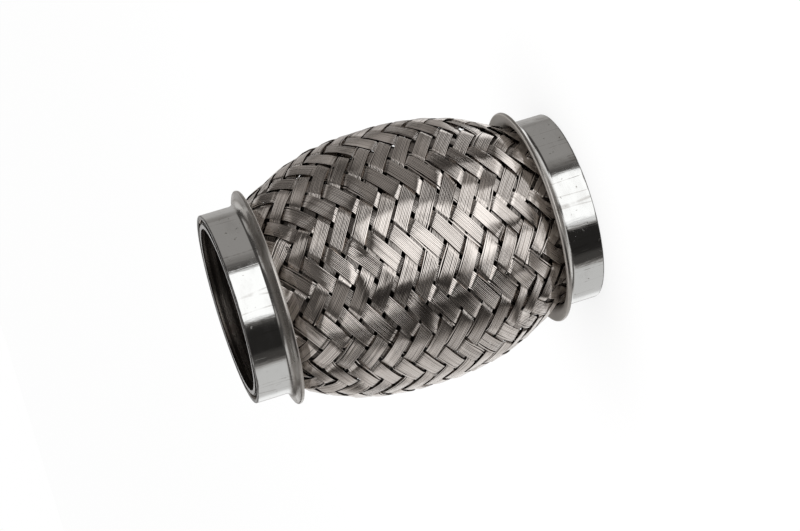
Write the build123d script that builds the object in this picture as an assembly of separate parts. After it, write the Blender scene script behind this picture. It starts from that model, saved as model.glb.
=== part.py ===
"""Flexible exhaust pipe: a bellows between a strip-wound liner and a woven steel sleeve, with two collars.

The pipe stands on one end. Z runs along its axis and the origin is at the middle of its foot.
All sizes are in millimetres.
"""

from build123d import *

import os
from bisect import bisect_right
from itertools import pairwise
from math import acos, cos, degrees, hypot, radians, sin, tan

# Overall sizes
length = 100.0
bore_radius = 23.0
belly_radius = 36.67

# Strip-wound liner
liner_wall = 1.15
liner_cuff = 10.0
strip_pitch = 3.8
strip_gap = 0.9
strip_sheet = 0.45

# Bellows
bellows_sheet = 0.3
convolutions = 9
convolution_pitch = 6.0
convolution_height = 5.8

# Woven sleeve
carriers = 24
belly_lean = 59.0
least_lean = 25.0
sleeve_wall = 0.8
ridge_height = 0.4
weave_start = 4.5
barrel_start = 12.0
barrel_power = 2.4
groove_share = 0.08
float_end_share = 0.16
gap_share = 0.17
open_row_count = 5

# End collars
collar_wall = 1.1
collar_straight = 8.4
flare_bend_radius = 2.3
flare_angle = 78.0
flare_lip = 2.0
edge_round = 0.25
lip_round = 0.4

# Clearances, and how far the hidden layers stop short of the pipe's ends
liner_clearance = 0.05
bellows_clearance = 0.25
collar_clearance = 0.05
layer_setback = 0.3

# How closely curved shapes are worked out
weave_steps = 400
slope_reach = 0.5

# Outer radii of the layers that each collar holds, from the bore outwards
liner_radius = bore_radius + liner_wall
bellows_radius = liner_radius + liner_clearance + bellows_sheet
sleeve_radius = bellows_radius + bellows_clearance + sleeve_wall
collar_radius = sleeve_radius + collar_clearance + collar_wall

# The weave's grid: columns round the pipe and rows up it, with two ribbons crossing on every other point
columns = 2 * carriers
column_step = 180 / carriers


def turned(edges):
    """The solid that a closed outline of radius and height sweeps about the pipe's axis."""
    return revolve(Plane.XZ * make_face(edges), axis=Axis.Z)


def collar():
    """A tube that stands on the pipe's foot and flares out where the sleeve leaves it."""
    foot = (collar_radius, 0)
    side = Line(foot, (collar_radius, collar_straight))
    bend = JernArc(side @ 1, side % 1, flare_bend_radius, -flare_angle)
    lip = Line(bend @ 1, bend @ 1 + (bend % 1) * flare_lip)
    wall = offset(Curve() + [side, bend, lip], amount=collar_wall, side=Side.LEFT)
    tube = turned(wall.edges())
    foot_edges = tube.edges().group_by(Axis.Z)[0]
    tube = fillet(foot_edges, edge_round)
    lip_edges = tube.edges().sort_by(lambda edge: edge.length)[-2:]
    return fillet(lip_edges, lip_round)


def corrugation(outwards):
    """One side of the bellows sheet from foot to head, a given distance outwards of its middle."""
    turn = convolution_pitch / 4
    middle_radius = bellows_radius - bellows_sheet / 2
    root = middle_radius + turn
    crest = middle_radius + convolution_height - bellows_sheet - turn
    root_turn = turn - outwards
    crest_turn = turn + outwards
    cuff = middle_radius + outwards
    start = (length - convolutions * convolution_pitch) / 2
    edges = [Line((cuff, layer_setback), (cuff, start))]
    for index in range(convolutions):
        base = start + index * convolution_pitch
        middle = base + convolution_pitch / 2
        top = base + convolution_pitch
        edges += [
            CenterArc((root, base), root_turn, 90, 90),
            Line((root, base + root_turn), (crest, middle - crest_turn)),
            CenterArc((crest, middle), crest_turn, -90, 180),
            Line((crest, middle + crest_turn), (root, top - root_turn)),
            CenterArc((root, top), root_turn, 180, 90),
        ]
    edges.append(Line((cuff, length - start), (cuff, length - layer_setback)))
    return edges


def bellows():
    """A thin tube folded into rounded convolutions, with a plain cuff in each collar."""
    outer = corrugation(bellows_sheet / 2)
    inner = corrugation(-bellows_sheet / 2)
    ends = [Line(inner[0] @ 0, outer[0] @ 0), Line(inner[-1] @ 1, outer[-1] @ 1)]
    return turned([*outer, *inner, *ends])


def grooves(radius, depth, first, count):
    """Corners of a straight wall with a row of square grooves, where the strip's turns lap each other."""
    corners = []
    for index in range(count):
        low = first + index * strip_pitch
        high = low + strip_gap
        corners += [(radius, low), (radius + depth, low), (radius + depth, high), (radius, high)]
    return corners


def liner():
    """The strip-wound tube that lines the bore, with a plain cuff at each end."""
    turns = int((length - 2 * liner_cuff) // strip_pitch)
    first = (length - turns * strip_pitch) / 2 + (strip_pitch - strip_gap) / 2
    inner = grooves(bore_radius, strip_sheet, first, turns)
    outer = grooves(liner_radius, -strip_sheet, first + strip_pitch / 2, turns - 1)
    corners = [(bore_radius, 0), *inner, (bore_radius, length)]
    corners += [(liner_radius, length), *reversed(outer), (liner_radius, 0)]
    return turned(Polyline(*corners, close=True).edges())


def barrel_radius(height):
    """The sleeve's outer radius: straight in the collars and bellied between them."""
    reach = min(abs(height - length / 2) / (length / 2 - barrel_start), 1)
    return sleeve_radius + (belly_radius - sleeve_radius) * (1 - reach**barrel_power)


def ribbon_turn(height):
    """Degrees that a ribbon turns about the axis in a millimetre of height.

    It leans so that it and its neighbours just fill the way round, and no less than the least lean.
    """
    radius = barrel_radius(height)
    crowding = cos(radians(belly_lean)) * belly_radius / radius
    lean = acos(min(crowding, cos(radians(least_lean))))
    rise = barrel_radius(height + slope_reach) - barrel_radius(height - slope_reach)
    return degrees(tan(lean) / radius) * hypot(1, rise / (2 * slope_reach))


def weave_turns():
    """Heights up the woven stretch, and the degrees that a ribbon has turned at each."""
    step = (length - 2 * weave_start) / weave_steps
    heights = [weave_start + index * step for index in range(weave_steps + 1)]
    turns = [0.0]
    for height in heights[:-1]:
        turns.append(turns[-1] + ribbon_turn(height + step / 2) * step)
    return heights, turns


weave_heights, weave_turned = weave_turns()
rows = 2 * round(weave_turned[-1] / column_step / 2)
open_rows = [round((index + 0.5) * rows / open_row_count) for index in range(open_row_count)]


def row_height(row):
    """The height of a row of the weave's grid, whole or not."""
    turn = weave_turned[-1] * row / rows
    index = min(bisect_right(weave_turned, turn), len(weave_turned) - 1)
    low, high = weave_turned[index - 1], weave_turned[index]
    share = (turn - low) / (high - low)
    return weave_heights[index - 1] + share * (weave_heights[index] - weave_heights[index - 1])


def weave_point(column, row, drop):
    """A point of the sleeve at a place on the grid, a given distance below its outer surface."""
    height = row_height(row)
    radius = barrel_radius(height) - drop
    angle = radians(column % columns * column_step)
    return (radius * cos(angle), radius * sin(angle), height)


def valley(column, row):
    """A point of the outer surface between ribbons, which is full height where the weave ends."""
    return weave_point(column, row, ridge_height if 0 < row < rows else 0)


def lining(column, row):
    """A point of the sleeve's inner surface."""
    return weave_point(column, row, sleeve_wall)


def float_outline(place):
    """Grid points round a float, each with its corner's number and the top's corner that it leans on.

    A corner on an open row is cut back, so that a square gap stays between the ribbons that meet there.
    """
    corners = [(-0.5, -0.5), (-0.5, 0.5), (0.5, 0.5), (1.5, 0.5), (1.5, -0.5), (0.5, -0.5)]
    tops = [(0, 0), (1, 1), (1, 2), (2, 2), (3, 3), (3, 0)]
    outline = []
    for number, (along, across) in enumerate(corners):
        column, row = place(along, across)
        first_top, last_top = tops[number]
        if row not in open_rows:
            outline += [(column, row, number, first_top), (column, row, number, last_top)]
            continue
        before = place(*corners[number - 1])
        after = place(*corners[(number + 1) % len(corners)])
        back = ((before[0] - column) * gap_share, (before[1] - row) * gap_share)
        onwards = ((after[0] - column) * gap_share, (after[1] - row) * gap_share)
        outline.append((column + back[0], row + back[1], number, first_top))
        if first_top == last_top:
            inmost = (column + back[0] + onwards[0], row + back[1] + onwards[1])
            outline.append((*inmost, number, first_top))
        outline.append((column + onwards[0], row + onwards[1], number, last_top))
    return outline


def float_facets(column, row, climb):
    """Facets of the stretch of one ribbon that lies over two others, and of the wall behind it.

    The stretch runs from its first crossing to the next one, a row up or down as climb is 1 or -1.
    """

    def place(along, across):
        return (column + along + across, row + climb * (along - across))

    low, high = float_end_share - 0.5, 1.5 - float_end_share
    side = 0.5 - groove_share
    top_spots = [(low, -side), (low, side), (high, side), (high, -side)]
    tops = [weave_point(*place(*spot), 0) for spot in top_spots]
    centre = lining(*place(0.5, 0))
    facets = [tops[:3], [tops[0], tops[2], tops[3]]]
    outline = float_outline(place)
    for here, there in pairwise([*outline, outline[0]]):
        if here[:2] != there[:2]:
            outer = [valley(*here[:2]), valley(*there[:2])]
            inner = [lining(*here[:2]), lining(*there[:2])]
            facets += [[*outer, tops[here[3]]], [*inner, centre]]
            if here[2] == there[2]:
                facets += [[*outer, inner[1]], [outer[0], *inner]]
        if here[3] != there[3]:
            facets.append([valley(*there[:2]), tops[there[3]], tops[here[3]]])
    return facets


def plain_facets(column, row):
    """Facets of a crossing at the weave's end, whose float runs out of it, on both faces of the wall."""
    below, above = max(row - 1, 0), min(row + 1, rows)
    corners = [(column - 1, row), (column, below), (column + 1, row), (column, above)]
    facets = []
    for surface in (valley, lining):
        points = [surface(*corner) for corner in corners]
        if row == 0:
            points = points[3:] + points[:3]
        elif row == rows:
            points = points[1:] + points[:1]
        facets += [[points[0], *pair] for pair in pairwise(points[1:])]
    return facets


def cuff_facets(edge_row, height):
    """Facets of the plain cuff between the weave's first or last row and the sleeve's end at a height."""
    facets = []
    for column in range(columns):
        outer = [valley(column, edge_row), valley(column + 1, edge_row)]
        inner = [lining(column, edge_row), lining(column + 1, edge_row)]
        outer_end = [(x, y, height) for x, y, z in outer]
        inner_end = [(x, y, height) for x, y, z in inner]
        facets.append([*outer, *reversed(outer_end)])
        facets.append([*inner, *reversed(inner_end)])
        facets.append([*outer_end, *reversed(inner_end)])
    return facets


def sleeve():
    """The woven sleeve as one wall, with a ridge for every float of its weave and rows of open gaps."""
    facets = cuff_facets(0, layer_setback) + cuff_facets(rows, length - layer_setback)
    for column in range(columns):
        climb = 1 if column % 4 < 2 else -1
        for row in range(column % 2, rows + 1, 2):
            partner = row + climb if column % 2 == 0 else row - climb
            if not (0 < row < rows and 0 < partner < rows):
                facets += plain_facets(column, row)
            elif column % 2 == 0:
                facets += float_facets(column, row, climb)
    return Solid(Shell([Face(Wire.make_polygon(facet)) for facet in facets]))


lower_collar = collar()
parts = {
    "lower_end_collar": lower_collar,
    "upper_end_collar": Pos(0, 0, length) * Rot(180, 0, 0) * lower_collar,
    "bellows": bellows(),
    "interlock_liner": liner(),
    "braided_sleeve": sleeve(),
}

os.makedirs("parts", exist_ok=True)
for name, part in parts.items():
    export_step(part, f"parts/{name}.step")
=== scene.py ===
"""Looks of an exhaust flex pipe: a woven steel sleeve between two bright collars.

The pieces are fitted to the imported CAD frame. All lengths are in metres.
"""

import math

import bmesh
import bpy
import numpy as np
from bpy.props import FloatProperty, FloatVectorProperty, IntProperty, PointerProperty
from mathutils import Matrix, Vector


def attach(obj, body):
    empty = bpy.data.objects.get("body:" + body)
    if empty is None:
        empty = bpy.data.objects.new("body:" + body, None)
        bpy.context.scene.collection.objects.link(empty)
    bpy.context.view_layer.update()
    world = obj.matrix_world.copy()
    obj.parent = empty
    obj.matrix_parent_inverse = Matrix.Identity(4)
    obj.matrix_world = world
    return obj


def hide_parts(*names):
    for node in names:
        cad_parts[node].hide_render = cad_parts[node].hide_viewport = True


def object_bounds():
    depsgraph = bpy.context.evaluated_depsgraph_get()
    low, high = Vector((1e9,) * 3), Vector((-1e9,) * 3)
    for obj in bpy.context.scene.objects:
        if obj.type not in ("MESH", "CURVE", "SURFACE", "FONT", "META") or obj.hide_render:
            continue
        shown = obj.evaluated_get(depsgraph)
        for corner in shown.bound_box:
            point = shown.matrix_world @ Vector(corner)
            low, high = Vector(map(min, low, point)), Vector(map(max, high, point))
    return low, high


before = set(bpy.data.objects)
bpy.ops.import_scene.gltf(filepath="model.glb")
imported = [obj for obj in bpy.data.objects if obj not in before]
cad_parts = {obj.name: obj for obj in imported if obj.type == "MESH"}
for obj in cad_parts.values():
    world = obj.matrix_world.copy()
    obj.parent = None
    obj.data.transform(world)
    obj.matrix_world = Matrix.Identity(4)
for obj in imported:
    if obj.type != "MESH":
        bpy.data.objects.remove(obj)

bl_info = {
    "name": "Exhaust Flex Pipe",
    "version": (1, 0, 0),
    "blender": (4, 5, 0),
    "location": "3D View > Sidebar > Flex Pipe",
    "description": "Builds the woven sleeve, collars, liner and studio of an exhaust flex pipe",
    "category": "Object",
}

CAD_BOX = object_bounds()
PIPE_LENGTH = CAD_BOX[1].z - CAD_BOX[0].z
BELLY_RADIUS = CAD_BOX[1].x
BODY = "root"
PHOTO_WIDTH = 800
PHOTO_HEIGHT = 531

# The sleeve's own surface stays this far inside the widest radius, as room for ribbons that heave.
HEAVE_ROOM = 0.00009


def length_property(name, description, default):
    return FloatProperty(
        name=name, description=description, default=default, min=0.0, precision=5, unit="LENGTH"
    )


def angle_property(name, description, degrees):
    return FloatProperty(
        name=name, description=description, default=math.radians(degrees), subtype="ANGLE"
    )


def share_property(name, description, default):
    return FloatProperty(
        name=name, description=description, default=default, min=0.0, max=1.0, subtype="FACTOR"
    )


def colour_property(name, description, default):
    return FloatVectorProperty(
        name=name, description=description, default=default, size=4, min=0.0, max=1.0, subtype="COLOR"
    )


class SleeveSettings(bpy.types.PropertyGroup):
    carriers: IntProperty(
        name="Ribbons each way", description="Wire ribbons that lean each way", default=24, min=4
    )
    wires: IntProperty(
        name="Wires a ribbon", description="Wires side by side in one ribbon", default=10, min=2
    )
    wire_width: length_property(
        "Wire width", "Distance between the middles of two wires side by side", 0.00039
    )
    wire_height: length_property("Wire height", "Thickness of one wire through the sleeve", 0.00026)
    sleeve_wall: length_property(
        "Sleeve wall", "Thickness of the two crossing layers together", 0.0008
    )
    neck_radius: length_property("Neck radius", "Outer radius of the sleeve inside the collars", 0.02555)
    belly_radius: length_property(
        "Belly radius", "Outer radius of the sleeve at its widest", BELLY_RADIUS - HEAVE_ROOM
    )
    barrel_start: length_property(
        "Barrel start", "Height at which the sleeve starts to belly out", 0.012
    )
    barrel_power: FloatProperty(
        name="Barrel power", description="How squarely the barrel bellies out", default=2.4
    )
    bend_length: length_property(
        "Neck bend", "Length over which the sleeve bends where it leaves a collar", 0.002
    )
    belly_lean: angle_property(
        "Lean at the belly", "Angle between a ribbon and the axis at the belly", 59
    )
    least_lean: angle_property("Least lean", "Smallest angle between a ribbon and the axis", 25)
    weave_start: length_property("Weave start", "Height of the weave's first whole row", 0.0045)
    end_setback: length_property(
        "End setback", "How far the wires stop short of the pipe's ends", 0.0004
    )
    dip_sharpness: FloatProperty(
        name="Dip sharpness", description="How abruptly a ribbon dips", default=7.0
    )
    float_crown: length_property(
        "Float crown", "Rise of the middle of a float above its ends", 0.00005
    )
    float_heave: length_property(
        "Float heave", "How far ribbons rise and sink along their own lines", 0.00004
    )
    ribbon_roll: angle_property("Ribbon roll", "How far a ribbon tilts about its own line", 2.0)
    wire_roll: angle_property("Wire roll", "How far single wires tilt about their own lines", 0.8)
    crease: angle_property("Crease", "Angle above which an edge of a wire is sharp", 16)
    drift: share_property("Drift", "How far ribbons wander, as a share of their spacing", 0.02)
    wire_jitter: share_property(
        "Wire jitter", "How far single wires wander, as a share of the spacing", 0.004
    )
    strays: share_property(
        "Stray wires", "Chance that an edge wire leaves its ribbon in a stretch", 0.42
    )
    seed: IntProperty(name="Seed", description="Picks one of the possible sleeves", default=11)


class CollarSettings(bpy.types.PropertyGroup):
    radius: length_property("Outer radius", "Outer radius of a collar's straight stretch", 0.0267)
    wall: length_property("Wall", "Thickness of a collar's steel", 0.0011)
    straight: length_property("Straight", "Height of a collar's straight stretch", 0.0084)
    bend_radius: length_property("Bend radius", "Radius of the bend into the flare", 0.0023)
    flare_angle: angle_property("Flare angle", "Angle that the flare turns outwards", 78)
    lip: length_property("Lip", "Straight length of the flare beyond its bend", 0.002)
    edge_round: length_property("Edge round", "Rounding of a collar's foot edges", 0.00025)
    lip_round: length_property("Lip round", "Rounding of the flare's edges", 0.0004)


class ColourSettings(bpy.types.PropertyGroup):
    wire: colour_property("Wire", "Bright drawn wires of the sleeve", (0.79, 0.735, 0.69, 1.0))
    wire_dark: colour_property("Wire, worn", "Darker wires", (0.57, 0.522, 0.485, 1.0))
    # Colour of the painted shade in the hollows where ribbons dip under each other.
    dip_shade: colour_property(
        "Painted dip shade", "Film in the hollows where ribbons dip under each other", (0.06, 0.052, 0.045, 1.0)
    )
    collar: colour_property("Collar", "Bright steel of the collars", (0.71, 0.715, 0.705, 1.0))
    collar_dark: colour_property(
        "Collar marks", "Pits, smears and scratches on the collars", (0.30, 0.28, 0.26, 1.0)
    )
    stain: colour_property("Stain", "Grey film on the collars' flares", (0.36, 0.325, 0.29, 1.0))
    # Colour of the painted shade on the cut ends of the collars and the liner.
    end_shade: colour_property(
        "Painted end shade", "Cut ends of the collars and the liner", (0.07, 0.06, 0.054, 1.0)
    )
    # The bellows' dark colour is painted shade for the gaps of the sleeve.
    bellows: colour_property(
        "Bellows", "Dark shade-painted steel behind the sleeve", (0.10, 0.09, 0.08, 1.0)
    )
    bellows_stain: colour_property(
        "Bellows stains", "Oil stains on the bellows", (0.03, 0.026, 0.022, 1.0)
    )
    liner: colour_property("Liner", "Steel of the strip-wound liner", (0.5, 0.46, 0.42, 1.0))
    liner_film: colour_property("Liner film", "Thin brown film", (0.20, 0.16, 0.135, 1.0))
    # Colour of the painted shade in the bore, between the light lines of the liner.
    bore_shade: colour_property("Painted bore shade", "Between the bright lines of the liner", (0.05, 0.038, 0.032, 1.0))


class StageSettings(bpy.types.PropertyGroup):
    elevation: angle_property("Camera elevation", "Angle of the camera above the horizon", 10.98)
    roll: angle_property("Camera roll", "Turn of the camera about its own line of sight", -107.07)
    distance: length_property(
        "Camera distance", "Distance from the camera to the pipe's middle", 0.6127
    )
    focal_pixels: FloatProperty(
        name="Focal length", description="Focal length in picture pixels", default=2215.3
    )
    aim_x: FloatProperty(
        name="Aim across", description="Picture pixel across of the pipe's middle", default=399.25
    )
    aim_y: FloatProperty(
        name="Aim down", description="Picture pixel down of the pipe's middle", default=257.0
    )
    floor: colour_property("Floor", "Pale studio floor", (0.93, 0.93, 0.93, 1.0))
    floor_grain: colour_property("Floor grain", "Cloudy patches of the floor", (0.9, 0.9, 0.9, 1.0))
    floor_glow: share_property(
        "Floor glow", "Share of the floor that the camera sees as plain white", 0.8
    )
    lamp_power: FloatProperty(
        name="Lamp power", description="Power of the soft lamp in watts", default=2.2
    )


SETTINGS = {
    "flexpipe_sleeve": SleeveSettings,
    "flexpipe_collars": CollarSettings,
    "flexpipe_colours": ColourSettings,
    "flexpipe_stage": StageSettings,
}


class Signal:
    """A shader node's output that works in Python expressions. Each operator adds one Math node."""

    def __init__(self, shader, output):
        self.shader = shader
        self.output = output

    def sibling(self, name):
        """Another output of the same node."""
        return Signal(self.shader, self.output.node.outputs[name])

    def math(self, operation, *others):
        inputs = dict(enumerate((self, *others)))
        return self.shader.node("Math", {"operation": operation}, inputs)

    def reflected(self, operation, first):
        return self.shader.node("Math", {"operation": operation}, {0: first, 1: self})

    def __add__(self, other):
        return self.math("ADD", other)

    def __sub__(self, other):
        return self.math("SUBTRACT", other)

    def __mul__(self, other):
        return self.math("MULTIPLY", other)

    def __truediv__(self, other):
        return self.math("DIVIDE", other)

    def __radd__(self, other):
        return self.reflected("ADD", other)

    def __rsub__(self, other):
        return self.reflected("SUBTRACT", other)

    def __rmul__(self, other):
        return self.reflected("MULTIPLY", other)

    def heights(self):
        """The third part of a vector."""
        return self.shader.node("SeparateXYZ", None, {0: self}, output="Z")

    def smooth_step(self, low, high):
        """0 below low, 1 above high and a smooth rise between them."""
        inputs = {"Value": self, "From Min": low, "From Max": high}
        return self.shader.node("MapRange", {"interpolation_type": "SMOOTHSTEP"}, inputs)


class Shader:
    """The node tree of one material or of the world."""

    def __init__(self, owner):
        owner.use_nodes = True
        self.owner = owner
        self.tree = owner.node_tree
        self.tree.nodes.clear()

    def node(self, kind, settings=None, inputs=None, output=0):
        """Adds a node, sets it up, then fills its sockets with values or links.

        Gives the output that is asked for, or None for a node without outputs.
        """
        made = self.tree.nodes.new("ShaderNode" + kind)
        for name, value in (settings or {}).items():
            setattr(made, name, value)
        for name, value in (inputs or {}).items():
            if isinstance(value, Signal):
                self.tree.links.new(value.output, made.inputs[name])
            else:
                made.inputs[name].default_value = value
        return Signal(self, made.outputs[output]) if made.outputs else None

    def mix(self, factor, first, second):
        """A mix of two colours, the second one's share being the factor."""
        return self.node("Mix", {"data_type": "RGBA"}, {0: factor, 6: first, 7: second}, output=2)

    def noise(self, vector, scale, detail=2.0, roughness=0.5):
        """Cloudy noise between 0 and 1, with a number of clouds a metre."""
        inputs = {"Vector": vector, "Scale": scale, "Detail": detail, "Roughness": roughness}
        return self.node("TexNoise", None, inputs)

    def stretched_noise(self, vector, scales, detail, roughness=0.5):
        """Noise with its own scale along each part of the vector."""
        scaled = self.node("VectorMath", {"operation": "MULTIPLY"}, {0: vector, 1: scales})
        return self.noise(scaled, 1.0, detail, roughness)

    def attribute(self, name, output):
        return self.node("Attribute", {"attribute_name": name}, output=output)

    def object_place(self):
        return self.node("TexCoord", output="Object")

    def bump(self, height, distance, under=None):
        """A normal bent by a height between 0 and 1, where 1 stands for the given distance."""
        inputs = {"Height": height, "Distance": distance}
        if under is not None:
            inputs["Normal"] = under
        return self.node("Bump", None, inputs)

    def surface(self, **inputs):
        """Ends a material with one Principled surface."""
        named = {name.replace("_", " "): value for name, value in inputs.items()}
        done = self.node("BsdfPrincipled", None, named)
        self.node("OutputMaterial", None, {"Surface": done})
        return self.owner


def new_shader(name):
    return Shader(bpy.data.materials.new(name))


def from_middle(place):
    """How far a place lies above the pipe's middle."""
    return place.heights() - PIPE_LENGTH / 2


def from_end(place):
    """How far a place lies from the nearer end of the pipe."""
    return PIPE_LENGTH / 2 - from_middle(place).math("ABSOLUTE")


# A wire pattern's scales are those along the wire, round it and from one wire to the next.
WIRE_PATCHES = 70.0
WIRE_STREAKS = (900.0, 1.2, 7.0)
WIRE_SCRATCHES = (160.0, 9.0, 7.0)
WIRE_SCRATCH_DEPTH = 0.0000004
WIRE_TONE_SHARE = 0.9
WIRE_PATCH_SHARE = 0.8
WIRE_LEAST_WEAR = 0.35
WIRE_ROUGHNESS = 0.10
# Painted shade where ribbons dip under each other: the lift below which it shows, its share at the
# belly, how much more it has near the collars, and the distances from the middle over which that grows.
DIP_SHADE_LIFT = 0.5
DIP_SHADE_AT_BELLY = 0.45
DIP_SHADE_MORE_AT_ENDS = 0.35
DIP_SHADE_GROWS = (0.02, 0.035)


def wire_steel(colours):
    """Drawn wire, each wire with its own grey.

    Painted shade darkens the colour where ribbons dip under each other, most of all towards the collars.
    """
    shader = new_shader("woven_wire_steel")
    tone = shader.attribute("wire_tone", "Fac")
    lift = shader.attribute("wire_lift", "Fac")
    along = shader.attribute("wire_place", "Vector")
    place = shader.object_place()
    patches = shader.noise(place, WIRE_PATCHES, 3.0)
    streaks = shader.stretched_noise(along, WIRE_STREAKS, 3.0)
    scratches = shader.stretched_noise(along, WIRE_SCRATCHES, 2.0)
    worn = (tone - 0.5) * WIRE_TONE_SHARE + (patches - 0.5) * WIRE_PATCH_SHARE + WIRE_LEAST_WEAR
    base = shader.mix(worn.smooth_step(0.0, 1.0), tuple(colours.wire), tuple(colours.wire_dark))
    # Painted shade in the hollows where ribbons dip under each other, stronger towards the collars.
    near_end = from_middle(place).math("ABSOLUTE").smooth_step(*DIP_SHADE_GROWS)
    dip_shade = (1 - lift.smooth_step(0.0, DIP_SHADE_LIFT)) * (DIP_SHADE_AT_BELLY + near_end * DIP_SHADE_MORE_AT_ENDS)
    base = shader.mix(dip_shade, base, tuple(colours.dip_shade))
    rough = WIRE_ROUGHNESS + (streaks - 0.5) * 0.04 + (patches - 0.5) * 0.07
    normal = shader.bump(scratches, WIRE_SCRATCH_DEPTH)
    return shader.surface(Base_Color=base, Metallic=1.0, Roughness=rough, Normal=normal)


# Painted shade on the cut ends: its share, how far its edge wanders and the distances over which it
# fades.
END_SHADE_SHARE = 0.85
END_SHADE_SPREAD = 0.0012
END_SHADE_FADES = (0.0001, 0.0004)


def end_face_shade(place, stains):
    """Mask of painted shade: 1 at the pipe's cut ends, with an uneven edge a fraction of a millimetre
    further in.
    """
    return 1 - (from_end(place) + (stains - 0.5) * END_SHADE_SPREAD).smooth_step(*END_SHADE_FADES)


# A pattern's scales on the other pieces are those across the pipe, twice, and along it.
COLLAR_WAVES = 95.0
COLLAR_DRAWN_LINES = (700.0, 700.0, 90.0)
COLLAR_SMEARS = (120.0, 120.0, 260.0)
COLLAR_HAIRLINES = (170.0, 170.0, 14.0)
COLLAR_PITS = 800.0
COLLAR_WAVE_DEPTH = 0.00008
COLLAR_DRAWN_DEPTH = 0.000027
COLLAR_HAIRLINE_DEPTH = 0.00001
COLLAR_PIT_DEPTH = 0.000006
COLLAR_ROUGHNESS = 0.07
HAIRLINE_WIDTH = 0.02
FLARE_STARTS = (0.0085, 0.0105)
FLARE_FILM = 0.7
INNER_FACE_FILM = 0.15
INNER_FACE_DULLNESS = 0.8


def collar_steel(colours):
    """Bright drawn tube, nearly a mirror, with slow waves, drawn lines, smears, pits and scratches.

    A grey film dulls the flares, most of all on the faces that look at the sleeve, and painted shade
    darkens the cut ends.
    """
    shader = new_shader("collar_bright_steel")
    place = shader.object_place()
    waves = shader.noise(place, COLLAR_WAVES, 1.5)
    drawn = shader.stretched_noise(place, COLLAR_DRAWN_LINES, 4.0, 0.6)
    smears = shader.stretched_noise(place, COLLAR_SMEARS, 4.0, 0.6)
    hairs = shader.stretched_noise(place, COLLAR_HAIRLINES, 2.0, 0.4)
    hairs = 1 - (hairs - 0.5).math("ABSOLUTE").smooth_step(0.0, HAIRLINE_WIDTH)
    hairs = hairs * smears.smooth_step(0.35, 0.6)
    pits = shader.noise(place, COLLAR_PITS, 1.0).smooth_step(0.70, 0.76)
    marks = pits * 0.6 + smears.smooth_step(0.45, 0.8) * 0.18 + hairs * 0.45
    base = shader.mix(marks, tuple(colours.collar), tuple(colours.collar_dark))
    flare = from_end(place).smooth_step(*FLARE_STARTS)
    upwards = shader.node("NewGeometry", output="Normal").heights()
    inner = (upwards * from_middle(place) / -PIPE_LENGTH).smooth_step(0.08, 0.3)
    base = shader.mix(flare * FLARE_FILM + inner * INNER_FACE_FILM, base, tuple(colours.stain))
    # Painted shade darkens the cut ends.
    end_shade = end_face_shade(place, smears)
    base = shader.mix(end_shade * END_SHADE_SHARE, base, tuple(colours.end_shade))
    rough = COLLAR_ROUGHNESS + smears.smooth_step(0.4, 0.75) * 0.10 + pits * 0.25
    rough = rough + flare * 0.19 + inner * 0.2 + end_shade * 0.25
    normal = shader.bump(waves, COLLAR_WAVE_DEPTH)
    normal = shader.bump(drawn, COLLAR_DRAWN_DEPTH, under=normal)
    normal = shader.bump(1 - hairs, COLLAR_HAIRLINE_DEPTH, under=normal)
    normal = shader.bump(1 - pits, COLLAR_PIT_DEPTH, under=normal)
    metallic = 1 - inner * INNER_FACE_DULLNESS
    return shader.surface(Base_Color=base, Metallic=metallic, Roughness=rough, Normal=normal)


BELLOWS_STAINS = 160.0
BELLOWS_RINGS = (60.0, 60.0, 1500.0)
BELLOWS_RING_DEPTH = 0.000004
BELLOWS_ROUGHNESS = 0.38


def bellows_steel(colours):
    """Dark sheet, seen only through the gaps of the sleeve, its dark colour a painted shade for those
    gaps.
    """
    shader = new_shader("bellows_dark_steel")
    place = shader.object_place()
    stains = shader.noise(place, BELLOWS_STAINS, 4.0, 0.6)
    rings = shader.stretched_noise(place, BELLOWS_RINGS, 2.0)
    stained = stains.smooth_step(0.3, 0.8)
    # Painted shade: the dark base colour stands for the shade in the sleeve's gaps.
    base = shader.mix(stained, tuple(colours.bellows), tuple(colours.bellows_stain))
    rough = BELLOWS_ROUGHNESS + (stains - 0.5) * 0.3
    normal = shader.bump(rings, BELLOWS_RING_DEPTH)
    return shader.surface(Base_Color=base, Metallic=1.0, Roughness=rough, Normal=normal)


LINER_FILM = 110.0
LINER_RINGS = (16.0, 16.0, 1100.0)
LINER_RING_DEPTH = 0.00006
LINER_ROUGHNESS = 0.25
# Share of painted shade over the liner, left off along its fine ring lines.
BORE_SHADE_SHARE = 0.75


def liner_steel(colours):
    """Rolled strip with a thin brown film, painted shade in the bore but for fine light lines round it,
    and painted shade at the cut ends.
    """
    shader = new_shader("liner_strip_steel")
    place = shader.object_place()
    rings = shader.stretched_noise(place, LINER_RINGS, 3.0)
    film = shader.noise(place, LINER_FILM, 4.0, 0.6)
    lines = rings.smooth_step(0.5, 0.6)
    base = shader.mix(film.smooth_step(0.35, 0.8), tuple(colours.liner), tuple(colours.liner_film))
    # Painted shade darkens the bore but for the fine ring lines.
    base = shader.mix(BORE_SHADE_SHARE - lines * BORE_SHADE_SHARE, base, tuple(colours.bore_shade))
    # Painted shade darkens the liner's cut ends.
    base = shader.mix(end_face_shade(place, film) * END_SHADE_SHARE, base, tuple(colours.end_shade))
    rough = LINER_ROUGHNESS + (film - 0.5) * 0.2 + (rings - 0.5) * 0.1
    normal = shader.bump(rings, LINER_RING_DEPTH)
    return shader.surface(Base_Color=base, Metallic=1.0, Roughness=rough, Normal=normal)


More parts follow.
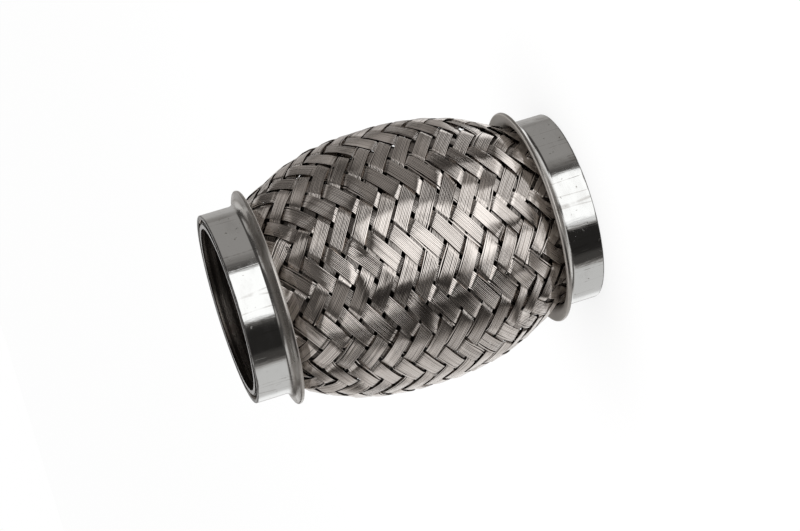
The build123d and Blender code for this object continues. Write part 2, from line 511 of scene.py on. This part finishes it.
def add_piece(name, mesh, material, replaced):
    """Links a finished mesh as a piece of the pipe that stands for a CAD node."""
    old = bpy.data.objects.get(name)
    if old is not None:
        bpy.data.objects.remove(old)
    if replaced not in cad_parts:
        raise RuntimeError(f"the packed model has no node named {replaced}")
    mesh.materials.append(material)
    piece = bpy.data.objects.new(name, mesh)
    bpy.context.scene.collection.objects.link(piece)
    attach(piece, BODY)
    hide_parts(replaced)


def as_mesh(bm, name):
    """Makes a bmesh a smooth-shaded mesh."""
    mesh = bpy.data.meshes.new(name)
    bm.to_mesh(mesh)
    bm.free()
    mesh.shade_smooth()
    return mesh


HEIGHT_SAMPLES = 4001


class Weave:
    """Where the sleeve's ribbons run.

    A place on the weave is a column, counted round the pipe, and a row, counted up it. A rising
    ribbon gains a column with each row and a falling one loses a column, and they cross where both
    are whole.
    """

    def __init__(self, sleeve):
        self.sleeve = sleeve
        self.column_step = math.pi / sleeve.carriers
        top = PIPE_LENGTH - sleeve.end_setback
        self.heights = np.linspace(sleeve.end_setback, top, HEIGHT_SAMPLES)
        step = self.heights[1] - self.heights[0]
        reach = np.abs(self.heights - PIPE_LENGTH / 2) / (PIPE_LENGTH / 2 - sleeve.barrel_start)
        bulge = sleeve.belly_radius - sleeve.neck_radius
        radii = sleeve.neck_radius + bulge * (1 - np.minimum(reach, 1) ** sleeve.barrel_power)
        # An odd number of samples keeps the smoothed bend where it is.
        window = max(int(sleeve.bend_length / step), 1) | 1
        padded = np.pad(radii, window // 2, mode="edge")
        smoothed = np.convolve(padded, np.ones(window) / window, mode="valid")
        self.radii = np.minimum(smoothed, radii.max())
        self.slopes = np.gradient(self.radii, step)
        crowding = math.cos(sleeve.belly_lean) * sleeve.belly_radius / radii
        lean = np.arccos(np.minimum(crowding, math.cos(sleeve.least_lean)))
        turning = np.tan(lean) / radii * np.hypot(1, np.gradient(radii, step))
        turned = np.concatenate([[0.0], np.cumsum((turning[1:] + turning[:-1]) / 2 * step)])
        ends = [sleeve.weave_start, PIPE_LENGTH - sleeve.weave_start]
        start, end = np.interp(ends, self.heights, turned)
        self.rows = 2 * round((end - start) / self.column_step / 2)
        self.row_at = (turned - start) / (end - start) * self.rows
        self.spacing = 2 * self.column_step * sleeve.belly_radius * math.cos(sleeve.belly_lean)

    def room_at(self, rows):
        """How far the sleeve's own surface lies inside its widest radius."""
        heights = np.interp(rows, self.row_at, self.heights)
        return self.sleeve.belly_radius - np.interp(heights, self.heights, self.radii)

    def frame_at(self, columns, rows, rise):
        """Points at a distance outside the sleeve's own surface, and the surface's normals there."""
        heights = np.interp(rows, self.row_at, self.heights)
        radii = np.interp(heights, self.heights, self.radii)
        slopes = np.interp(heights, self.heights, self.slopes)
        out = 1 / np.hypot(1, slopes)
        up = -slopes * out
        angles = columns * self.column_step
        around = np.stack([np.cos(angles), np.sin(angles)], -1)
        flat = around * (radii + rise * out)[..., None]
        points = np.concatenate([flat, (heights + rise * up)[..., None]], -1)
        normals = np.concatenate([around * out[..., None], up[..., None]], -1)
        return points, normals


def unit(vectors):
    return vectors / np.linalg.norm(vectors, axis=-1, keepdims=True)


# A wire's cross-section, as shares of its width and height, and each corner's share of the way round.
WIRE_OUTLINE = np.array([(0.5, 0.35), (0.25, 0.5), (-0.25, 0.5), (-0.5, 0.35), (0.0, -0.5)])
WIRE_AROUND = np.array([1.0, 2.0, 3.0, 4.0, 0.0]) / 5
RINGS_ROUND_A_DIP = (-0.42, -0.2, -0.1, -0.035, 0.035, 0.1, 0.2, 0.42, 1.0)

# Dips are counted from this many rows beyond the ends, and the rings keep this far from the last ones.
ROWS_BEYOND_ENDS = 4
LEAST_END_GAP = 0.05


def ring_rows(weave, first_dip):
    """Rows at which a wire gets a ring of vertices, closest together where it dips or comes up."""
    low, high = weave.row_at[0], weave.row_at[-1]
    dips = np.arange(first_dip - ROWS_BEYOND_ENDS, weave.rows + ROWS_BEYOND_ENDS, 2)
    rows = np.sort((dips[:, None] + np.array(RINGS_ROUND_A_DIP)).ravel())
    inside = rows[(rows > low + LEAST_END_GAP) & (rows < high - LEAST_END_GAP)]
    return np.concatenate([[low], inside, [high]])


def straight_wires(count, rings):
    """A mesh of straight closed wires side by side, with each vertex's wire, ring and corner."""
    bm = bmesh.new()
    corners = len(WIRE_OUTLINE)
    bmesh.ops.create_cone(
        bm, cap_ends=True, cap_tris=False, segments=corners, radius1=0.5, radius2=0.5, depth=1.0
    )
    long_edges = [edge for edge in bm.edges if abs(edge.verts[0].co.z - edge.verts[1].co.z) > 0.5]
    bmesh.ops.subdivide_edges(bm, edges=long_edges, cuts=rings - 2, use_grid_fill=True)
    first = bm.verts[:] + bm.edges[:] + bm.faces[:]
    for wire in range(1, count):
        copied = bmesh.ops.duplicate(bm, geom=first)["geom"]
        verts = [item for item in copied if isinstance(item, bmesh.types.BMVert)]
        bmesh.ops.translate(bm, verts=verts, vec=(2.0 * wire, 0.0, 0.0))
    mesh = bpy.data.meshes.new("straight_wires")
    bm.to_mesh(mesh)
    bm.free()
    places = np.empty(len(mesh.vertices) * 3)
    mesh.vertices.foreach_get("co", places)
    places = places.reshape(-1, 3)
    wire = np.rint(places[:, 0] / 2).astype(int)
    ring = np.rint((places[:, 2] + 0.5) * (rings - 1)).astype(int)
    angle = np.arctan2(places[:, 1], places[:, 0] - 2.0 * wire)
    corner = np.floor((angle - angle[0]) / (2 * math.pi / corners) + 0.5).astype(int) % corners
    return mesh, wire, ring, corner


def slow_waves(random, rows, lengths, size):
    """A smooth random wander with the given wave lengths in rows."""
    total = np.zeros_like(rows)
    for wave in lengths:
        total = total + random.normal() * np.sin(2 * math.pi * (rows / wave + random.random()))
    return size * total


# Wave lengths, in rows, of the ways in which ribbons and single wires wander.
DRIFT_WAVES = (29, 13, 7)
SPREAD_WAVES = (17, 8)
JITTER_WAVES = (11, 5)
ROLL_WAVES = (9, 5, 3)
WIRE_ROLL_WAVES = (23, 6)
HEAVE_WAVES = (9, 4.6)
SPREAD_SIZE = 0.008

# Near its ends a ribbon is narrower and looser, with more drift, roll, crown and heave. The effect
# fades over this many rows.
LOOSE_ROWS = 7
END_NARROWING = 0.16
END_DRIFT = 1.4
END_ROLL = 2
END_CROWN = 4
END_HEAVE = 1

# An edge wire may stray once in each stretch of rows. Its chance is a share of the setting, plus more
# near the ends, which fades over a few rows. A stray's length in rows and its size in ribbon spacings
# are each a least value and a range.
STRAY_STRETCH = 4.0
STRAY_ROWS = 5
STRAY_AT_BELLY = 0.5
STRAY_MORE_AT_ENDS = 1.5
STRAY_LENGTH = (0.9, 0.8)
STRAY_SIZE = (0.03, 0.095)

# Each wire's middle line stays this share of its height inside the pipe's widest radius.
WIRE_ROOM = 0.62


def stray_wires(sleeve, rows, random):
    """How far the two edge wires of a ribbon bulge away from it along its rows."""
    strays = []
    for way in (-1, 1):
        bulges = np.zeros_like(rows)
        for start in np.arange(rows[0], rows[-1], STRAY_STRETCH):
            chance, middle, length, size = random.random(4)
            end_rows = min(start - rows[0], rows[-1] - start)
            likely = STRAY_AT_BELLY + STRAY_MORE_AT_ENDS * math.exp(-end_rows / STRAY_ROWS)
            if chance < sleeve.strays * likely:
                away = rows - start - STRAY_STRETCH * middle
                reach = STRAY_LENGTH[0] + STRAY_LENGTH[1] * length
                height = STRAY_SIZE[0] + STRAY_SIZE[1] * size
                bulges += way * height * np.exp(-((away / reach) ** 2))
        strays.append(bulges)
    return strays


def ribbon_paths(weave, rising, ribbon, rows, random):
    """Middle lines of one ribbon's wires: points, normals, tilts and lifts, which run from 0 to 1."""
    sleeve = weave.sleeve
    wires = np.arange(sleeve.wires) - (sleeve.wires - 1) / 2
    pitch = sleeve.wire_width / weave.spacing
    end_rows = np.minimum(rows - rows[0], rows[-1] - rows)
    near_end = np.exp(-end_rows / LOOSE_ROWS)
    looseness = 1 + END_DRIFT * near_end
    shared = slow_waves(random, rows, DRIFT_WAVES, sleeve.drift) * looseness
    spread = 1 - END_NARROWING * near_end + slow_waves(random, rows, SPREAD_WAVES, SPREAD_SIZE)
    across = wires[:, None] * pitch * spread + shared
    for wire in range(sleeve.wires):
        across[wire] += slow_waves(random, rows, JITTER_WAVES, sleeve.wire_jitter) * looseness
    first_strays, last_strays = stray_wires(sleeve, rows, random)
    across[0] += first_strays
    across[-1] += last_strays
    roll = slow_waves(random, rows, ROLL_WAVES, sleeve.ribbon_roll) * (1 + END_ROLL * near_end)
    rolls = [slow_waves(random, rows, WIRE_ROLL_WAVES, sleeve.wire_roll) for wire in wires]
    tilt = roll + np.array(rolls)
    fade = np.clip(1 - end_rows / 2, 0, 1)
    places = ribbon + across
    if rising:
        along = rows + ribbon + across * fade
        columns, heights = places + along, along - places
    else:
        along = ribbon - rows + across * fade
        columns, heights = places + along, places - along
    # Two crossings over and two under make one full swing.
    swing = np.cos(math.pi / 2 * (ribbon + along - (0.5 if rising else 2.5)))
    sharp = sleeve.dip_sharpness
    over = np.tanh(sharp * swing) / math.tanh(sharp)
    half = (sleeve.sleeve_wall - sleeve.wire_height) / 2 - sleeve.float_crown
    crown = sleeve.float_crown * (1 + END_CROWN * near_end)
    heave = slow_waves(random, rows, HEAVE_WAVES, sleeve.float_heave) * (1 + END_HEAVE * near_end)
    rise = over * half + np.maximum(swing, 0) * crown - sleeve.sleeve_wall / 2
    rise = rise + np.sin(roll) * across * weave.spacing + heave
    beyond = BELLY_RADIUS - sleeve.belly_radius - sleeve.wire_height * WIRE_ROOM
    rise = np.minimum(rise, weave.room_at(heights) + beyond)
    points, normals = weave.frame_at(columns, heights, rise)
    return points, normals, tilt, (over + 1) / 2


WIRE_TONE_SPREAD = 0.45


def ribbon_group(weave, rising, ribbons, name, material):
    """One piece of the sleeve: some of the ribbons that lean one way, each wire a closed tube."""
    sleeve = weave.sleeve
    rows = ring_rows(weave, 1.5 if rising else 0.5)
    template, wire, ring, corner = straight_wires(sleeve.wires, len(rows))
    outline = WIRE_OUTLINE * (sleeve.wire_width, sleeve.wire_height)
    bm = bmesh.new()
    coordinates, tones, lifts, spots = [], [], [], []
    for ribbon in ribbons:
        random = np.random.default_rng((sleeve.seed, int(rising), ribbon))
        bm.from_mesh(template)
        points, normals, tilt, over = ribbon_paths(weave, rising, ribbon, rows, random)
        tangents = unit(np.gradient(points, axis=1))
        sides = unit(np.cross(normals, tangents))
        tops = np.cross(tangents, sides)
        steps = np.linalg.norm(np.diff(points, axis=1), axis=-1)
        lengths = np.concatenate([np.zeros((sleeve.wires, 1)), np.cumsum(steps, axis=1)], axis=1)
        flat, high = outline[corner].T
        turn = tilt[wire, ring]
        sideways = sides[wire, ring] * (flat * np.cos(turn) + high * np.sin(turn))[:, None]
        upwards = tops[wire, ring] * (high * np.cos(turn) - flat * np.sin(turn))[:, None]
        coordinates.append(points[wire, ring] + sideways + upwards)
        tone = 0.5 + 0.5 * np.clip(random.normal(0, WIRE_TONE_SPREAD, sleeve.wires), -1, 1)
        tones.append(tone[wire])
        lifts.append(over[wire, ring])
        serial = ribbon * sleeve.wires + wire
        spots.append(np.stack([lengths[wire, ring], WIRE_AROUND[corner], serial], -1))
    bpy.data.meshes.remove(template)
    mesh = bpy.data.meshes.new(name)
    bm.to_mesh(mesh)
    bm.free()
    mesh.vertices.foreach_set("co", np.concatenate(coordinates).astype(np.float32).ravel())
    for attribute, kind, field, values in (
        ("wire_tone", "FLOAT", "value", tones),
        ("wire_lift", "FLOAT", "value", lifts),
        ("wire_place", "FLOAT_VECTOR", "vector", spots),
    ):
        made = mesh.attributes.new(attribute, kind, "POINT")
        made.data.foreach_set(field, np.concatenate(values).astype(np.float32).ravel())
    mesh.shade_smooth()
    mesh.update()
    mesh.set_sharp_from_angle(angle=sleeve.crease)
    add_piece(name, mesh, material, "braided_sleeve")


ROUND_STEPS = 192
FLARE_BEND_STEPS = 14
EDGE_STEPS = 4
SHARP_EDGE = 1.0
SAME_PLACE = 1e-7
SAME_HEIGHT = 1e-6


def extrude_to(bm, vert, place):
    """Draws an edge from a vertex to a new one at a place, and returns the new one."""
    made = bmesh.ops.extrude_vert_indiv(bm, verts=[vert])["verts"][0]
    made.co = place
    return made


def spin_whole(bm):
    """Turns all of a bmesh's edges once about the pipe's axis and closes the seam."""
    bmesh.ops.spin(
        bm,
        geom=bm.verts[:] + bm.edges[:],
        cent=(0, 0, 0),
        axis=(0, 0, 1),
        dvec=(0, 0, 0),
        angle=2 * math.pi,
        steps=ROUND_STEPS,
        use_merge=True,
    )
    bmesh.ops.remove_doubles(bm, verts=bm.verts[:], dist=SAME_PLACE)
    bmesh.ops.recalc_face_normals(bm, faces=bm.faces[:])


def round_rings(bm, low, high, offset):
    """Rounds the sharp ring edges between two heights."""
    edges = [
        edge
        for edge in bm.edges
        if edge.is_manifold
        and edge.calc_face_angle() > SHARP_EDGE
        and low <= edge.verts[0].co.z <= high
        and abs(edge.verts[0].co.z - edge.verts[1].co.z) < SAME_HEIGHT
    ]
    bmesh.ops.bevel(
        bm,
        geom=edges,
        offset=offset,
        offset_type="OFFSET",
        segments=EDGE_STEPS,
        profile=0.5,
        affect="EDGES",
        material=-1,
    )


def collar_bmesh(collars):
    """A collar at the pipe's foot: a sheet turned about the axis, thickened and rounded."""
    bm = bmesh.new()
    vert = bm.verts.new((collars.radius, 0, 0))
    inset = 2 * collars.edge_round
    for height in (inset, collars.straight / 2, collars.straight - inset, collars.straight):
        vert = extrude_to(bm, vert, (collars.radius, 0, height))
    centre = (collars.radius + collars.bend_radius, 0, collars.straight)
    bend = bmesh.ops.spin(
        bm,
        geom=[vert],
        cent=centre,
        axis=(0, 1, 0),
        dvec=(0, 0, 0),
        angle=collars.flare_angle,
        steps=FLARE_BEND_STEPS,
    )
    vert = [item for item in bend["geom_last"] if isinstance(item, bmesh.types.BMVert)][0]
    onwards = Vector((math.sin(collars.flare_angle), 0, math.cos(collars.flare_angle)))
    start = vert.co.copy()
    for share in (0.3, 0.65, 1.0):
        vert = extrude_to(bm, vert, start + onwards * collars.lip * share)
    spin_whole(bm)
    top = max(vert.co.z for vert in bm.verts)
    bmesh.ops.solidify(bm, geom=bm.faces[:], thickness=-collars.wall)
    bmesh.ops.recalc_face_normals(bm, faces=bm.faces[:])
    round_rings(bm, -collars.wall, collars.straight / 4, collars.edge_round)
    round_rings(bm, collars.straight, top + collars.wall, collars.lip_round)
    return bm


def turn_over(bm):
    """Turns a bmesh at the pipe's foot over to its head."""
    half_turn = Matrix.Rotation(math.pi, 3, "X")
    bmesh.ops.rotate(bm, verts=bm.verts[:], cent=(0, 0, PIPE_LENGTH / 2), matrix=half_turn)


WHITE = (1.0, 1.0, 1.0, 1.0)
WARM_WHITE = (1.0, 0.94, 0.89, 1.0)
WHITE_FROM = 0.9

# Soft panels and dark cards all round the pipe, each in front of those above it in this list. Each has
# its bearing round the pipe's axis and its elevation above the horizon, both in degrees and given as
# middle, half width and half of the soft edge, and then its brightness.
DIM_ROOM = 0.06
PANELS = {
    "ground": ((0, 180, 5), (-60, 12, 8), 0.85),
    "under": ((0, 180, 5), (-90, 20, 8), 0.3),
    "ceiling": ((0, 180, 5), (90, 36, 14), 0.18),
    "far wall": ((154, 36, 6), (-10, 22, 7), 0.67),
    "bright wall": ((112, 14, 6), (-13, 18, 7), 1.05),
    "far ground": ((130, 30, 8), (-56, 12, 5), 1.15),
    "back wall": ((100, 50, 10), (40, 16, 8), 0.28),
    "back light": ((64, 12, 4), (19, 13, 5), 0.9),
    "back strip": ((74, 30, 8), (-8, 15, 7), 0.47),
    "low back": ((62, 24, 8), (-38, 12, 6), 1.4),
    "high front": ((14, 18, 8), (38, 8, 6), 0.27),
    "upper front": ((12, 14, 4), (23, 9, 4), 0.48),
    "near ground": ((-10, 46, 8), (-56, 8, 5), 1.0),
    "low left": ((-106, 12, 5), (-38, 26, 6), 0.85),
    "key": ((-81, 30, 3), (-20, 27, 4), 1.4),
    "key foot": ((-54, 12, 4), (-43, 11, 4), 1.35),
    "dark card": ((-136, 17, 4), (-22, 33, 5), 0.02),
    "dark slot": ((-94, 9, 4), (-61, 18, 5), 0.02),
    "upper side": ((-177, 20, 5), (39, 12, 5), 0.75),
    "upper left": ((-115, 12, 5), (28, 10, 5), 0.35),
    "upper back": ((142, 18, 6), (33, 8, 5), 0.6),
    "top front": ((-40, 11, 5), (47, 13, 5), 0.65),
    "front": ((3, 42, 12), (-11, 10, 4), 0.33),
    "dark corner": ((96, 17, 5), (-52, 22, 6), 0.04),
    "rim light": ((91, 9, 4), (11, 5, 3), 1.3),
}


def studio_world(name):
    """A studio that only polished steel sees: soft panels and dark cards all round the pipe.

    The camera sees plain white, and the world lights matt surfaces evenly. Dim places are warmer.
    """
    world = bpy.data.worlds.new(name)
    shader = Shader(world)
    east = shader.node("SeparateXYZ", None, {0: shader.node("TexCoord", output="Generated")}, output="X")
    north, up = east.sibling("Y"), east.sibling("Z")
    bearing = north.math("ARCTAN2", east) * math.degrees(1)
    elevation = up.math("ARCSINE") * math.degrees(1)
    level = DIM_ROOM
    for (across, half_width, side_edge), (height, half_height, top_edge), brightness in PANELS.values():
        aside = (bearing - across).math("WRAP", 180.0, -180.0).math("ABSOLUTE")
        above = (elevation - height).math("ABSOLUTE")
        inside = 1 - aside.smooth_step(half_width - side_edge, half_width + side_edge)
        inside = inside * (1 - above.smooth_step(half_height - top_edge, half_height + top_edge))
        level = level + inside * (brightness - level)
    rays = shader.node("LightPath", output="Is Camera Ray")
    glossy = rays.sibling("Is Glossy Ray")
    seen = 1 + glossy * (1 - rays) * (level - 1)
    tint = shader.mix(seen.smooth_step(0.0, WHITE_FROM), WARM_WHITE, WHITE)
    background = shader.node("Background", None, {"Color": tint, "Strength": seen})
    shader.node("OutputWorld", None, {"Surface": background})
    return world


FLOOR_GRAIN = 40.0
FLOOR_GRAIN_SHARE = 0.1
FLOOR_RADIUS = 12.0
LAMP_PLACE = (0.15, -0.25, 0.7)
LAMP_AIM = (0, 0, 0.05)
LAMP_SIZE = 0.8
SENSOR_WIDTH = 36.0
NEAREST_SEEN = 0.01
FARTHEST_SEEN = 100.0


def floor_paint(stage):
    """Matt pale floor, which the camera sees partly as plain white, with the pipe's shadow on it."""
    shader = new_shader("studio_floor")
    grain = shader.noise(shader.object_place(), FLOOR_GRAIN, 3.0) * FLOOR_GRAIN_SHARE
    pale = shader.mix(grain, tuple(stage.floor), tuple(stage.floor_grain))
    paint = shader.node("BsdfDiffuse", None, {"Color": pale})
    glow = shader.node("Emission", None, {"Color": WHITE, "Strength": 1.0})
    camera = shader.node("LightPath", output="Is Camera Ray")
    mixed = shader.node("MixShader", None, {0: camera * stage.floor_glow, 1: paint, 2: glow})
    shader.node("OutputMaterial", None, {"Surface": mixed})
    return shader.owner


def add_camera(stage):
    """The photograph's view. The pipe stands on its end, and a rolled camera shows it lying across."""
    sideways = Vector((1, 0, 0))
    back = Vector((0, -math.cos(stage.elevation), math.sin(stage.elevation)))
    upwards = back.cross(sideways)
    right = math.cos(stage.roll) * sideways + math.sin(stage.roll) * upwards
    top = -math.sin(stage.roll) * sideways + math.cos(stage.roll) * upwards
    metres = stage.distance / stage.focal_pixels
    across = (stage.aim_x - PHOTO_WIDTH / 2) * metres
    down = (stage.aim_y - PHOTO_HEIGHT / 2) * metres
    middle = Vector((0, 0, PIPE_LENGTH / 2))
    place = middle - across * right + down * top + stage.distance * back
    data = bpy.data.cameras.new("photo_camera")
    data.sensor_width = SENSOR_WIDTH
    data.lens = stage.focal_pixels * data.sensor_width / PHOTO_WIDTH
    data.clip_start = NEAREST_SEEN
    data.clip_end = FARTHEST_SEEN
    camera = bpy.data.objects.new("photo_camera", data)
    turn = Matrix((right, top, back)).transposed()
    camera.matrix_world = Matrix.Translation(place) @ turn.to_4x4()
    bpy.context.scene.collection.objects.link(camera)
    bpy.context.scene.camera = camera


class FLEXPIPE_OT_stage(bpy.types.Operator):
    """Makes the floor, the studio light and the camera"""

    bl_idname = "flexpipe.stage"
    bl_label = "Studio stage"

    def execute(self, context):
        stage = context.scene.flexpipe_stage
        context.scene.view_settings.view_transform = "Standard"
        bm = bmesh.new()
        bmesh.ops.create_circle(bm, cap_ends=True, segments=64, radius=FLOOR_RADIUS)
        mesh = bpy.data.meshes.new("studio_floor")
        bm.to_mesh(mesh)
        bm.free()
        mesh.materials.append(floor_paint(stage))
        floor = bpy.data.objects.new("studio_floor", mesh)
        floor.visible_glossy = False
        context.scene.collection.objects.link(floor)
        context.scene.world = studio_world("studio")
        data = bpy.data.lights.new("soft_lamp", "AREA")
        data.energy = stage.lamp_power
        data.size = LAMP_SIZE
        lamp = bpy.data.objects.new("soft_lamp", data)
        lamp.location = LAMP_PLACE
        lamp.visible_glossy = False
        towards_pipe = Vector(LAMP_AIM) - lamp.location
        lamp.rotation_euler = towards_pipe.to_track_quat("-Z", "Y").to_euler()
        context.scene.collection.objects.link(lamp)
        add_camera(stage)
        return {"FINISHED"}


class FLEXPIPE_OT_sleeve(bpy.types.Operator):
    """Weaves the sleeve's wire ribbons, two over and two under"""

    bl_idname = "flexpipe.sleeve"
    bl_label = "Woven sleeve"

    def execute(self, context):
        sleeve = context.scene.flexpipe_sleeve
        weave = Weave(sleeve)
        material = wire_steel(context.scene.flexpipe_colours)
        half = sleeve.carriers // 2
        for rising, way in ((True, "rising"), (False, "falling")):
            for part in range(2):
                ribbons = range(part * half, part * half + half)
                ribbon_group(weave, rising, ribbons, f"{way}_ribbons_{part + 1}", material)
        return {"FINISHED"}


class FLEXPIPE_OT_collars(bpy.types.Operator):
    """Turns the two flared collars"""

    bl_idname = "flexpipe.collars"
    bl_label = "End collars"

    def execute(self, context):
        collars = context.scene.flexpipe_collars
        material = collar_steel(context.scene.flexpipe_colours)
        for node in ("lower_end_collar", "upper_end_collar"):
            bm = collar_bmesh(collars)
            if node.startswith("upper"):
                turn_over(bm)
            piece = f"{node}_steel"
            add_piece(piece, as_mesh(bm, piece), material, node)
        return {"FINISHED"}


class FLEXPIPE_OT_bellows(bpy.types.Operator):
    """Gives the bellows behind the sleeve its dark steel, a painted shade for the sleeve's gaps"""

    bl_idname = "flexpipe.bellows"
    bl_label = "Bellows finish"

    def execute(self, context):
        material = bellows_steel(context.scene.flexpipe_colours)
        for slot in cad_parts["bellows"].material_slots:
            slot.material = material
        return {"FINISHED"}


class FLEXPIPE_OT_liner(bpy.types.Operator):
    """Gives the strip-wound liner its steel"""

    bl_idname = "flexpipe.liner"
    bl_label = "Liner finish"

    def execute(self, context):
        material = liner_steel(context.scene.flexpipe_colours)
        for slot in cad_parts["interlock_liner"].material_slots:
            slot.material = material
        return {"FINISHED"}


OPERATORS = (
    FLEXPIPE_OT_stage,
    FLEXPIPE_OT_bellows,
    FLEXPIPE_OT_liner,
    FLEXPIPE_OT_collars,
    FLEXPIPE_OT_sleeve,
)


class FLEXPIPE_PT_pieces(bpy.types.Panel):
    """Lists the pipe's sizes and colours, and the pieces to build from them"""

    bl_idname = "FLEXPIPE_PT_pieces"
    bl_label = "Exhaust Flex Pipe"
    bl_space_type = "VIEW_3D"
    bl_region_type = "UI"
    bl_category = "Flex Pipe"

    def draw(self, context):
        for name, group in SETTINGS.items():
            box = self.layout.box()
            for field in group.__annotations__:
                box.prop(getattr(context.scene, name), field)
        for operator in OPERATORS:
            self.layout.operator(operator.bl_idname)


def register():
    for name, group in SETTINGS.items():
        bpy.utils.register_class(group)
        setattr(bpy.types.Scene, name, PointerProperty(type=group))
    for operator in OPERATORS:
        bpy.utils.register_class(operator)
    bpy.utils.register_class(FLEXPIPE_PT_pieces)


def unregister():
    bpy.utils.unregister_class(FLEXPIPE_PT_pieces)
    for operator in reversed(OPERATORS):
        bpy.utils.unregister_class(operator)
    for name, group in SETTINGS.items():
        delattr(bpy.types.Scene, name)
        bpy.utils.unregister_class(group)


def main():
    register()
    bpy.ops.flexpipe.stage()
    bpy.ops.flexpipe.bellows()
    bpy.ops.flexpipe.liner()
    bpy.ops.flexpipe.collars()
    bpy.ops.flexpipe.sleeve()


if __name__ == "__main__":
    main()
